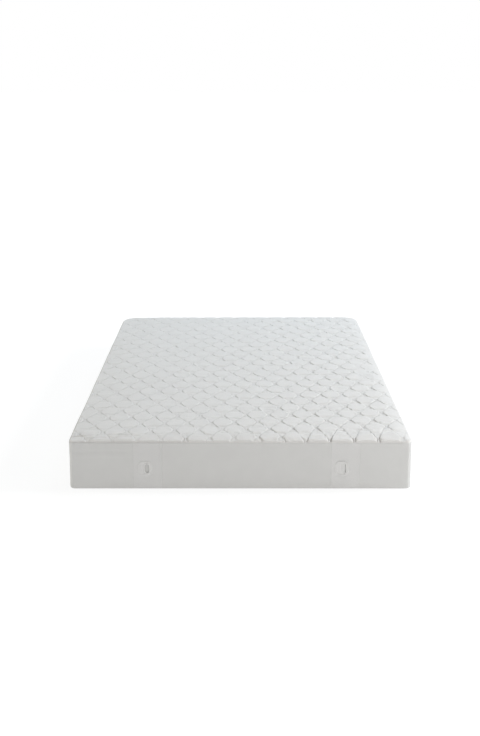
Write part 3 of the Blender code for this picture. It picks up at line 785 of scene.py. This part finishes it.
def hemPoint(side, u):
    # where the hem's inner edge lies, below the wall at u
    along, out, half, reach, lowRadius, highRadius = sides[side]
    radius = highRadius if u > 0 else lowRadius
    base, _ = wallPoint(side, u, pad["bend"], 0)
    offset = base.dot(along)
    cornerStart = half - pad["tuck"] - pad["tuckRadius"]
    cornerMid = cornerStart + pad["tuckRadius"] * math.sin(math.pi / 4)
    baseMid = half - radius + (radius - pad["bend"]) * math.sin(math.pi / 4)
    free = cornerStart - 0.10
    if abs(offset) > free:
        share = (abs(offset) - free) / (baseMid - free)
        offset = math.copysign(free + (cornerMid - free) * share, offset)
    depth = reach - pad["tuck"]
    if abs(offset) > cornerStart:
        depth -= pad["tuckRadius"] - math.sqrt(pad["tuckRadius"] ** 2 - (abs(offset) - cornerStart) ** 2)
    return along * offset + out * depth


def skirtRows(extra):
    # from the hem's inner edge out, round the bend and up: (inset, height, share of the way in)
    rows = [(pad["bend"], 0.0, share) for share in (1.0, 0.965, 0.93, 0.85, 0.74, 0.60, 0.45, 0.30, 0.15)]
    for step in range(6):
        angle = math.pi / 2 * step / 5
        rows.append((pad["bend"] * (1 - math.sin(angle)), pad["bend"] * (1 - math.cos(angle)), 0.0))
    heights = sorted({*lines(0.014, 0.199, skirt["rowStep"]), *extra})
    heights = thinned(heights, 0.0005) + [0.2030, 0.2055, 0.2080, 0.2110, 0.2140, 0.2165]
    rows += [(0.0, height, 0.0) for height in heights]
    # rolled in at the top, where a groove is left between the skirt and the quilted top
    insets = (0.0001, 0.0005, 0.0011, 0.0018, 0.0025, 0.0030)
    heights = (0.2184, 0.2193, 0.2197, 0.2194, 0.2186, 0.2176)
    return rows + [(inset, height, 0.0) for inset, height in zip(insets, heights)]


def gathers(u):
    # the elastic's gathers, from 0 to 1
    return 0.5 + 0.5 * math.sin(math.tau * u / skirt["gatherPitch"] + 2.2 * ripple(u * 5, 0, 1))


def softFolds(side, u, height):
    # how far the cloth stands proud of its flat shape
    seed = list(sides).index(side) * 9.0
    broad = 0.5 + 0.5 * ripple(u * 3.1, height * 4.0, seed)
    low = max(0.0, 1 - height / folds["uprightTop"])
    upright = 0.5 + 0.5 * ripple(u * 19, height * 2.0, seed + 3)
    slack = 0.5 + 0.5 * ripple(u * 6.0, height * 26, seed + 6)
    lift = folds["broad"] * broad + folds["upright"] * upright * low**1.5 + folds["slack"] * slack
    lift *= folds["footShare"] if side == "foot" else 1.0
    lift += folds["allowance"] * bell(height - folds["allowanceHeight"], 0.0065)
    if side == "head":  # the tag lies flat here
        lift *= 1 - math.exp(-(((u - 0.30) / 0.05) ** 2) - ((height - 0.186) / 0.06) ** 2)
    if side == "foot":
        fold = math.sin((height - 0.150) / 0.0060) * bell(height - 0.172, 0.028)
        lift += folds["cornerFold"] * smooth(-u, 0.40, 0.52) * (fold + 0.6)
        lift += folds["cornerEdge"] * bell(u - 0.717, 0.004)
    return lift


def slitShape(outlet, x, height):
    # draws the cloth in so that the slit has round ends, and says how far its lips stand out
    half = outlet["slit"] / 2
    rise = (height - outletHeight) / (slitHeight / 2)
    share = max(lips["least"], (1 - min(1.0, abs(rise)) ** 5) ** 0.45)
    if abs(rise) > 1:
        share = min(1.0, lips["least"] + (1 - lips["least"]) * (abs(rise) - 1) / 0.4)
    offset = x - outlet["centre"]
    if abs(offset) <= half + 1e-6:
        moved = outlet["centre"] + offset * share
    else:
        shift = (share - 1) * math.copysign(half, offset)
        moved = x + shift * max(0.0, 1 - (abs(offset) - half) / lips["reach"])
    beside = max(0.0, abs(moved - outlet["centre"]) - half * share)
    above = max(0.0, abs(rise) - 1) * slitHeight / 2
    away = math.hypot(beside, above)
    fromEnds = (above / away) ** 2 if away > 1e-6 else float(abs(offset) < half - 1e-6)
    beyond = lips["below"] if rise < 0 else lips["above"]
    across = lips["right"] if offset > 0 else lips["left"]
    middle, reach = lips["roll"]
    rolled = max(0.0, 1 - ((away - middle) / reach) ** 2) ** 0.5
    return moved, outlet["lip"] * (across + (beyond - across) * fromEnds) * rolled


def slitEdges(outlet):
    return outlet["centre"] - outlet["slit"] / 2, outlet["centre"] + outlet["slit"] / 2


def slitRows():
    # nearer to each other at the slit's round ends
    return [outletHeight + slitHeight / 2 * math.sin(math.pi / 2 * (step / 7 - 1)) for step in range(15)]


def ringLift(outlet, x, height):
    # the round ridge, and the folds inside it
    middle = outlet["centre"] + outlet["slit"] / 2 + patch["beyondSlit"] - patch["width"] / 2
    across, up = (x - middle) / outline["halfWidth"], (height - outletHeight) / outline["halfHeight"]
    reach = (abs(across) ** 2.6 + abs(up) ** 2.6) ** (1 / 2.6)
    strength = 0.05 + 0.95 * min(1.0, abs(up) / max(reach, 0.1)) ** 3
    groove = bell(reach - outline["groove"], outline["soft"])
    lift = outlet["ring"] * strength * (bell(reach - outline["ridge"], outline["soft"]) - 0.45 * groove)
    if x < outlet["centre"]:
        fold = outline["fold"] * math.cos(math.tau * (x - outlet["centre"]) / outline["foldPitch"])
        lift += fold * min(1.0, max(0.0, 1 - reach / 0.85) * 2.5)
    return lift


def lapped(outlet, u, fromEnd, height):
    # an insert's folded edges lie over the panels beside it, and its inner one stands out at the top
    if not outlet:
        return skirt["lap"] * bell(fromEnd - 0.0050, 0.0030)
    inner = outlet["centre"] < 0 < u - outlet["centre"]
    fold = skirt["innerFold"] * (0.35 + 0.65 * smooth(height, 0.10, 0.16)) if inner else skirt["fold"]
    return skirt["lap"] * min(1.0, fromEnd / 0.001) + fold * bell(fromEnd - 0.0035, 0.0030)


def gridOver(columns, rows):
    # a sheet with a point for each column and row
    bm = bmesh.new()
    wide, tall = len(columns) - 1, len(rows) - 1
    bmesh.ops.create_grid(bm, x_segments=wide, y_segments=tall, size=0.5)
    toSeam = bm.verts.layers.float.new("toSeam")
    alongSeam = bm.verts.layers.float.new("alongSeam")
    spots = {}
    for vert in bm.verts:
        spots[vert] = columns[round((vert.co.x + 0.5) * wide)], rows[round((vert.co.y + 0.5) * tall)]
    return bm, toSeam, alongSeam, spots


def cutSlit(bm, outlet, spots):
    # drops the faces inside the slit; spots says where each point lies before the cloth is drawn in
    slitLow, slitHigh = slitEdges(outlet)
    hole = []
    for face in bm.faces:
        x, height = (sum(spots[vert][axis] for vert in face.verts) / len(face.verts) for axis in range(2))
        if slitLow < x < slitHigh and slitBottom < height < slitTop:
            hole.append(face)
    bmesh.ops.delete(bm, geom=hole, context="FACES")


def panelSheet(side, low, high, outlet):
    # closer columns and rows at the panel's ends and round a slit
    columns = lines(low + 0.010, high - 0.010, skirt["columnStep"])
    for step in (0.0, 0.0008, 0.0024, 0.0042, 0.0062):
        columns += [low + step, high - step]
    extra = []
    if outlet:
        slitLow, slitHigh = slitEdges(outlet)
        columns += lines(outlet["centre"] - 0.060, slitLow, 0.0017) + lines(slitLow, slitHigh, 0.0025)
        columns += lines(slitHigh, outlet["centre"] + 0.034, 0.0016)
        extra = lines(outletHeight - 0.042, slitBottom, 0.0016) + slitRows()
        extra += lines(slitTop, outletHeight + 0.042, 0.0016)
    columns = thinned(sorted(c for c in columns if low <= c <= high), 0.0006)
    bm, toSeam, alongSeam, spots = gridOver(columns, skirtRows(extra))
    flat = {}
    for vert, (u, (inset, height, share)) in spots.items():
        fromEnd = min(u - low, high - u)
        lift = softFolds(side, u, height) * min(1.0, fromEnd / 0.03) if share == 0 else 0.0
        lift += lapped(outlet, u, fromEnd, height) - 0.0003 * max(0.0, 1 - fromEnd / 0.0010)
        shown = u
        if outlet and share == 0:
            shown, lip = slitShape(outlet, u, height)
            lift += lip + ringLift(outlet, u, height)
        point, normal = wallPoint(side, shown, inset, height)
        if inset > 0.0001 and height > 0.1:
            lift = min(lift, 0.0004)
        if share == 0:
            risen = min(1.0, height / pad["bend"])
            vert.co = point + normal * lift * risen
        else:
            vert.co = point.lerp(hemPoint(side, u), share)
            vert.co.z = skirt["gather"] * share**1.5 * gathers(u)
        vert[toSeam] = fromEnd if outlet else 0.05
        down = skirt["topHeight"] - height + pad["tuck"] * share
        vert[alongSeam] = down
        flat[vert] = (u, down)
    unwrap(bm, flat.get)
    if outlet:
        cutSlit(bm, outlet, {vert: (u, row[1]) for vert, (u, row) in spots.items()})
    return bm


def buildSkirt():
    footLow, footHigh = sideEnds("foot")
    (leftLow, leftHigh), (rightLow, rightHigh) = outlets["left"]["insert"], outlets["right"]["insert"]
    panels = [
        ("skirtLeft", "skirt_left", "left", *sideEnds("left"), None),
        ("skirtRight", "skirt_right", "right", *sideEnds("right"), None),
        ("skirtHead", "skirt_head", "head", *sideEnds("head"), None),
        ("skirtFootLeft", "skirt_foot_left", "foot", footLow, leftLow, None),
        ("skirtFootMiddle", "skirt_foot_middle", "foot", leftHigh, rightLow, None),
        ("skirtFootRight", "skirt_foot_right", "foot", rightHigh, footHigh, None),
        ("insertLeft", "insert_left", "foot", leftLow, leftHigh, outlets["left"]),
        ("insertRight", "insert_right", "foot", rightLow, rightHigh, outlets["right"]),
    ]
    for name, node, side, low, high, outlet in panels:
        beyond = skirt["overlap"] if outlet else -skirt["seam"]
        bm = panelSheet(side, low - beyond, high + beyond, outlet)
        cloth = ("insertWeave", "woven_polyester") if outlet else ("skirtKnit", "skirt_knit")
        piece = newPiece(name, bm, *cloth, skirt["thickness"])
        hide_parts(node)
        high - low


buildSkirt()
print("skirt made")


# What is sewn to the inserts

def buildPatch(side, outlet):
    slitLow, slitHigh = slitEdges(outlet)
    high = slitHigh + patch["beyondSlit"]
    low = high - patch["width"]
    columns = lines(low, slitLow, 0.0018) + lines(slitLow, slitHigh, 0.0025) + lines(slitHigh, high, 0.0016)
    half = patch["width"] / 2
    rows = lines(outletHeight - half, slitBottom, 0.0016) + slitRows()
    rows += lines(slitTop, outletHeight + half, 0.0016)
    columns, rows = thinned(columns, 0.0003), thinned(rows, 0.0003)
    bm, toSeam, alongSeam, spots = gridOver(columns, rows)
    for vert, spot in spots.items():
        vert.co.xy = spot
    cutSlit(bm, outlet, spots)
    middleX = (low + high) / 2
    plan = roundedPlan(half, half, patch["radius"], patch["radius"], 8)
    trimToPlan(bm, [point + Vector((middleX, outletHeight)) for point in plan])
    unwrap(bm, lambda vert: vert.co.xy)
    for vert in bm.verts:
        x, height = vert.co.x, vert.co.y
        pastX = abs(x - middleX) - half + patch["radius"]
        pastY = abs(height - outletHeight) - half + patch["radius"]
        if pastX > 0 and pastY > 0:
            vert[toSeam] = patch["radius"] - math.hypot(pastX, pastY)
        else:
            vert[toSeam] = patch["radius"] - max(pastX, pastY)
        vert[alongSeam] = abs(math.atan2(height - outletHeight, x - middleX)) * half
        shown, lip = slitShape(outlet, x, height)
        lift = lip + ringLift(outlet, x, height) + softFolds("foot", x, height) + 0.0004
        lift += patch["gap"] + patch["thickness"] * smooth(vert[toSeam], -0.002, 0.004)
        vert.co = Vector((shown, -pad["halfLength"] - lift, height))
    name = "outletPatch" + side.title()
    # painted light: the patch takes the lighter copy of the insert's weave
    piece = newPiece(name, bm, "litPatchWeave", "woven_polyester", patch["thickness"])
    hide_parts("outlet_patch_" + side)


binding = {"radius": 0.0018, "out": 0.0008, "steps": 28}


def buildBinding(side, outlet):
    # a rolled edge that follows the slit on the patch's outside
    half, steps = outlet["slit"] / 2, binding["steps"]
    trail = []
    for sign in (1, -1):
        for step in range(steps + 1):
            rise = sign * math.cos(math.pi * step / steps)
            height = outletHeight + rise * slitHeight / 2
            x = outlet["centre"] + sign * half
            moved, lip = slitShape(outlet, x, height)
            lift = lip + ringLift(outlet, x, height) + softFolds("foot", moved, height)
            trail.append((moved, -pad["halfLength"] - lift - binding["out"], height))
    curve = bpy.data.curves.new("binding", "CURVE")
    curve.dimensions, curve.bevel_depth, curve.bevel_resolution = "3D", binding["radius"], 3
    spline = curve.splines.new("POLY")
    spline.points.add(len(trail) - 1)
    for point, place in zip(spline.points, trail):
        point.co = (*place, 1)
    spline.use_cyclic_u = True
    rolled = placed("binding", curve)
    bpy.context.view_layer.update()
    evaluated = rolled.evaluated_get(bpy.context.evaluated_depsgraph_get())
    mesh = bpy.data.meshes.new_from_object(evaluated)
    bpy.data.objects.remove(rolled)
    bm = bmesh.new()
    bm.from_mesh(mesh)
    bmesh.ops.recalc_face_normals(bm, faces=bm.faces)
    unwrap(bm, lambda vert: vert.co.xz)
    # partly painted highlight: the binding is made light so that the slit's rolled lip shows bright
    newPiece("slitBinding" + side.title(), bm, "bindingTwill", "woven_polyester")


pocket = {"round": 0.0035, "thickness": 0.0008, "uneven": 0.0006}


def buildPocket(side):
    low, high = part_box("socket_pocket_" + side)
    bm = bmesh.new()
    bmesh.ops.create_cube(bm, size=1.0)
    bmesh.ops.scale(bm, vec=high - low, verts=bm.verts)
    bmesh.ops.translate(bm, vec=(low + high) / 2, verts=bm.verts)
    bm.normal_update()
    front = [face for face in bm.faces if face.normal.y < -0.5]
    bmesh.ops.delete(bm, geom=front, context="FACES")
    rim = [edge for edge in bm.edges if not edge.is_boundary]
    radius = pocket["round"]
    bmesh.ops.bevel(bm, geom=rim, offset=radius, segments=3, profile=0.5, affect="EDGES", material=-1)
    bmesh.ops.subdivide_edges(bm, edges=bm.edges, cuts=6, use_grid_fill=True)
    unwrap(bm, lambda vert: (vert.co.x + vert.co.y, vert.co.z + vert.co.y))
    for vert in bm.verts:
        if vert.co.y > high.y - 0.0005:
            vert.co.y += pocket["uneven"] * noise.noise(vert.co * 60)
    name = "socketPocket" + side.title()
    piece = newPiece(name, bm, "bindingTwill", "woven_polyester", pocket["thickness"])
    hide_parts("socket_pocket_" + side)


flap = {
    "under": 0.003,  # how far it reaches beyond the slit
    "depth": 0.0014,
    "fold": 0.0010,
    "beforeMouth": 0.0050,
    "bulge": 0.0002,
    "thickness": 0.0004,
}


def buildFlap(side, outlet):
    # cloth behind the slit, folded over the socket's front
    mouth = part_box("socket_front_shell_" + side)[1].x
    low = slitEdges(outlet)[0] - flap["under"]
    width, length = outlet["slit"] + 2 * flap["under"], slitHeight + flap["under"]
    bm = bmesh.new()
    bmesh.ops.create_grid(bm, x_segments=24, y_segments=20, size=0.5)
    unwrap(bm, lambda vert: (vert.co.x * width, vert.co.y * length))
    for vert in bm.verts:
        x, rise = low + width * (vert.co.x + 0.5), 2 * vert.co.y
        fold = flap["fold"] * bell(x - mouth + flap["beforeMouth"], 0.0024)
        inSlit = smooth(x, low, low + 0.004) * (1 - smooth(x, low + width - 0.004, low + width))
        depth = flap["depth"] - (flap["bulge"] + fold) * inSlit * (1 - rise**8)
        vert.co = (x, depth - pad["halfLength"], outletHeight + length / 2 * rise)
    bmesh.ops.recalc_face_normals(bm, faces=bm.faces)
    name = "mouthFlap" + side.title()
    # painted shade: the flap is darker so that the inside of the slit looks shaded
    piece = newPiece(name, bm, "shadedFlapCotton", "woven_polyester", flap["thickness"], 0.0)


for side, outlet in outlets.items():
    buildPatch(side, outlet)
    buildBinding(side, outlet)
    buildPocket(side)
    buildFlap(side, outlet)
print("outlets made")


# The bands: tape inside the top seam, elastic in the hem

tape = {"inset": 0.0019, "low": 0.1997, "high": 0.2117, "thickness": 0.0008}
elastic = {"rise": 0.0023, "near": 0.003, "far": 0.015, "thickness": 0.0012}


def bandSheet(place, step):
    # a closed band round the pad; place gives the points of its two edges beside u
    bm = bmesh.new()
    uv = bm.loops.layers.uv.new("cloth")
    before, travelled, first = None, 0.0, None
    for side in sides:
        low, high = sideEnds(side)
        for u in lines(low, high, step)[:-1]:
            pair = [bm.verts.new(point) for point in place(side, u)]
            if before:
                join(bm, uv, before, pair, travelled, step)
            else:
                first = pair
            before = pair
            travelled += step
    join(bm, uv, before, first, travelled, step)
    return bm


def join(bm, uv, before, after, travelled, step):
    face = bm.faces.new((before[0], after[0], after[1], before[1]))
    width = (before[0].co - before[1].co).length
    for loop, spot in zip(face.loops, ((0, 0), (1, 0), (1, 1), (0, 1))):
        loop[uv].uv = (travelled + spot[0] * step, spot[1] * width)


def tapePoints(side, u):
    low, _ = wallPoint(side, u, tape["inset"], tape["low"])
    high, _ = wallPoint(side, u, tape["inset"], tape["high"])
    return low, high


def elasticPoints(side, u):
    edge = hemPoint(side, u)
    base, _ = wallPoint(side, u, pad["bend"], 0)
    way = (base - edge).normalized()
    rise = Vector((0, 0, elastic["rise"]))
    near = rise + Vector((0, 0, skirt["gather"] * 0.95 * gathers(u)))
    far = rise + Vector((0, 0, skirt["gather"] * 0.76 * gathers(u)))
    return edge + way * elastic["near"] + near, edge + way * elastic["far"] + far


bm = bandSheet(tapePoints, 0.02)
tapePiece = newPiece("seamTape", bm, "bindingTwill", "woven_polyester", tape["thickness"])
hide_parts("seam_tape")
bm = bandSheet(elasticPoints, 0.006)
elasticPiece = newPiece("hemElastic", bm, "ribbedElastic", "elastic", elastic["thickness"], 1.0)
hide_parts("hem_elastic")


tag = {"thickness": 0.0004, "curl": 0.0010}


def buildTag():
    low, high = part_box("care_tag")
    bm = bmesh.new()
    bmesh.ops.create_grid(bm, x_segments=10, y_segments=16, size=0.5)
    unwrap(bm, lambda vert: (vert.co.x * (high.x - low.x), vert.co.y * (high.z - low.z)))
    for vert in bm.verts:
        across, down = vert.co.x, 0.5 - vert.co.y
        x = (low.x + high.x) / 2 - across * (high.x - low.x)
        curl = tag["curl"] * down**2 * (1 + 0.6 * math.sin(across * 4 + 0.8))
        vert.co = (x, (low.y + high.y) / 2 + curl, high.z - down * (high.z - low.z))
    piece = newPiece("careTag", bm, "satinTag", "satin", tag["thickness"], 0.0, "tag")
    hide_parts("care_tag")


buildTag()
print("bands and tag made")

nodeFinishes = {
    "heating_wire": "wireSheath",
    "wire_splice": "insulatorBlock",
    "lead_cable": "leadSheath",
    "strain_relief": "socketHousing",
    "socket_front_shell": "socketHousing",
    "socket_back_shell": "socketHousing",
    "contact_carrier": "insulatorBlock",
    "contact_pin": "turnedBrass",
}
for name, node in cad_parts.items():
    for start, finish in nodeFinishes.items():
        if name.startswith(start):
            node.material_slots[0].material = finishes[finish]
print("solids' finishes set")


# Floor, light and camera

stage = {
    "floor": 0.86,
    "lift": 0.70,  # how bright the floor looks beside the pad; further off it is white
    "near": 1.3,
    "far": 2.6,
    "glow": 0.30,
    "white": 1.15,
    "sky": 0.42,
}
lamps = {  # power, colour, place, target, size
    "window": (208.0, (0.935, 0.97, 1.0), (4.9, -0.4, 3.1), (0.2, -0.2, 0.2), 1.4),
    "back": (98.0, (0.66, 0.84, 1.0), (0.4, 4.9, 2.8), (-0.1, 0.5, 0.2), 2.0),
    "left": (50.0, (1.0, 0.985, 0.90), (-4.5, -0.3, 1.3), (-0.7, 0, 0.2), 1.5),
    "front": (31.5, (1.0, 0.995, 0.975), (0, -6.0, 1.5), (0, -1.0, 0.1), 2.5),
    "corner": (5.0, (1.0, 0.98, 0.95), (1.7, -2.3, 0.9), (0.2, -1.0, 0.1), 0.8),
}
view = {"lens": 44.71, "shift": -0.17, "place": (-0.0012, -4.826, 1.860), "tilt": 79.05}


def buildFloor():
    bm = bmesh.new()
    bmesh.ops.create_grid(bm, x_segments=1, y_segments=1, size=60)
    mesh = bpy.data.meshes.new("floor")
    bm.to_mesh(mesh)
    bm.free()
    floor = placed("floor", mesh)
    finish = Finish("floorPaper")
    x, y, _ = finish.parts(finish.coords)
    away = finish.fades((x * x + y * y).calc("SQRT"), stage["near"], stage["far"])
    away = away * (1 - stage["lift"]) + stage["lift"]
    seen = finish.node("ShaderNodeLightPath", output="Is Camera Ray")
    white = finish.node("ShaderNodeEmission", values={"Color": (1, 1, 1, 1), "Strength": stage["white"]})
    finish.apply(Base_Color=(stage["floor"],) * 3 + (1,), Roughness=0.9, Specular_IOR_Level=0.0)
    share = seen * (away - stage["glow"]) + stage["glow"]
    paper = Value(finish, finish.surface.outputs[0])
    mixed = finish.node("ShaderNodeMixShader", values={0: share, 1: paper, 2: white})
    finish.tree.links.new(mixed.socket, finish.tree.nodes["Material Output"].inputs[0])
    mesh.materials.append(finish.material)


def buildSky():
    world = bpy.data.worlds.new("paleRoom")
    scene.world = world
    world.use_nodes = True
    tree = world.node_tree
    path = tree.nodes.new("ShaderNodeLightPath")
    seen = tree.nodes.new("ShaderNodeBackground")
    room = tree.nodes["Background"]
    seen.inputs[0].default_value, seen.inputs[1].default_value = (1, 1, 1, 1), 1.0
    room.inputs[0].default_value, room.inputs[1].default_value = (1.0, 1.0, 0.99, 1), stage["sky"]
    mixed = tree.nodes.new("ShaderNodeMixShader")
    for number, source in enumerate((path.outputs["Is Camera Ray"], room.outputs[0], seen.outputs[0])):
        tree.links.new(source, mixed.inputs[number])
    tree.links.new(mixed.outputs[0], tree.nodes["World Output"].inputs[0])


def addLamp(name, power, colour, place, target, size):
    lamp = bpy.data.lights.new(name, "AREA")
    lamp.energy, lamp.color = power, colour
    lamp.shape, lamp.size = "DISK", size
    holder = placed(name, lamp)
    holder.location = place
    holder.rotation_euler = (Vector(target) - Vector(place)).to_track_quat("-Z", "Y").to_euler()


def buildCamera():
    data = bpy.data.cameras.new("camera")
    data.sensor_width, data.lens, data.shift_y = 36.0, view["lens"], view["shift"]
    camera = placed("camera", data)
    camera.location = view["place"]
    camera.rotation_euler = (math.radians(view["tilt"]), 0, 0)
    data.clip_end = 200
    scene.camera = camera


buildFloor()
buildSky()
for name, values in lamps.items():
    addLamp(name, *values)
buildCamera()
scene.view_settings.view_transform = "Standard"
print("floor, light and camera made")
